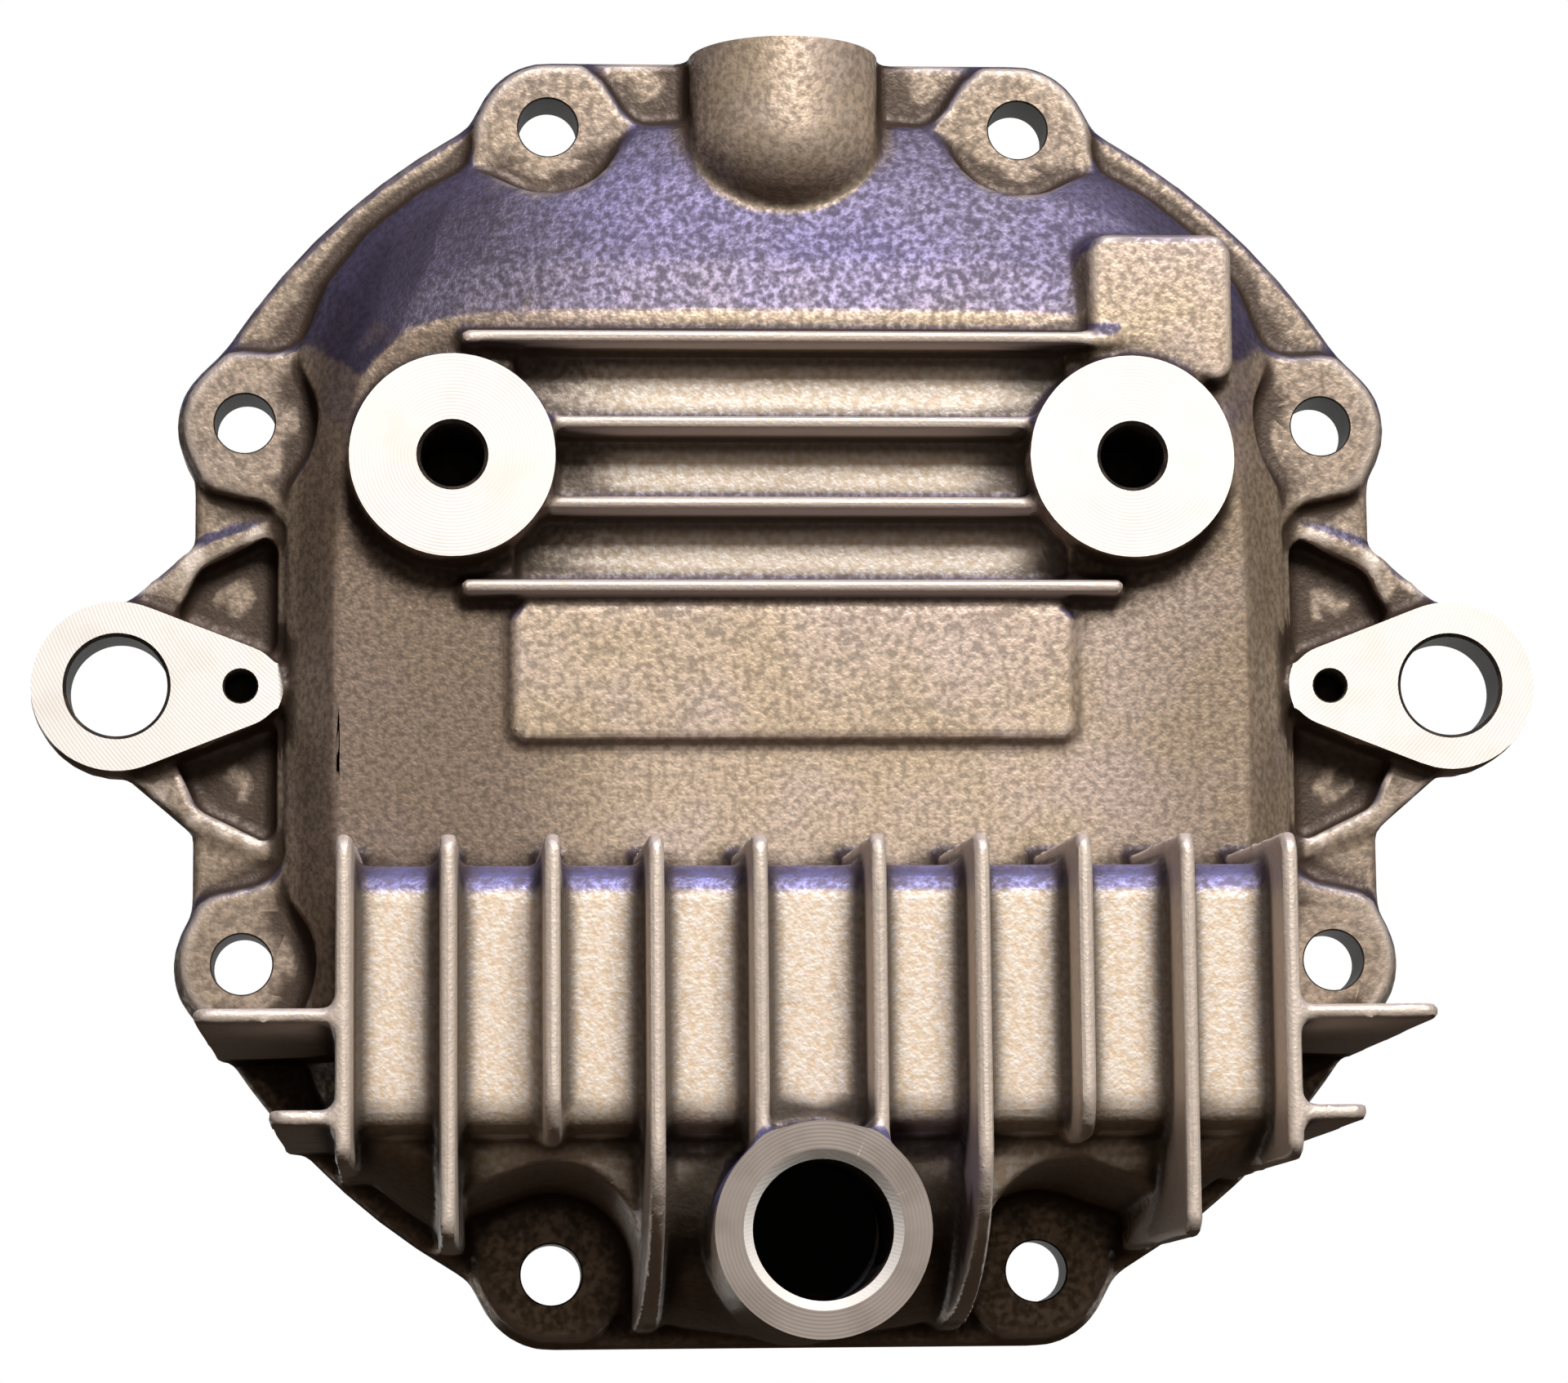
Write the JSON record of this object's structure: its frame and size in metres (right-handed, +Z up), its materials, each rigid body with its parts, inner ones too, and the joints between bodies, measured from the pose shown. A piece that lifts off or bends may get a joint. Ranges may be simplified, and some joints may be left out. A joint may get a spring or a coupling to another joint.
{
  "type": "differential cover",
  "caption": "Finned cast cover for a rear axle differential, with a deep sump, a drain boss, stud bosses and side ears.",
  "frame": {"origin": "centre of the bolt pattern, in the plane of the gasket face", "axes": "+Y out of the gasket face towards the axle housing, +X across through both ears, +Z up"},
  "size_m": [0.3028, 0.097, 0.2612],
  "materials": {
    "casting": "sand-cast, with milled seats"
  },
  "bodies": {
    "root": {"cover_casting": "casting"}
  },
  "joints": []
}
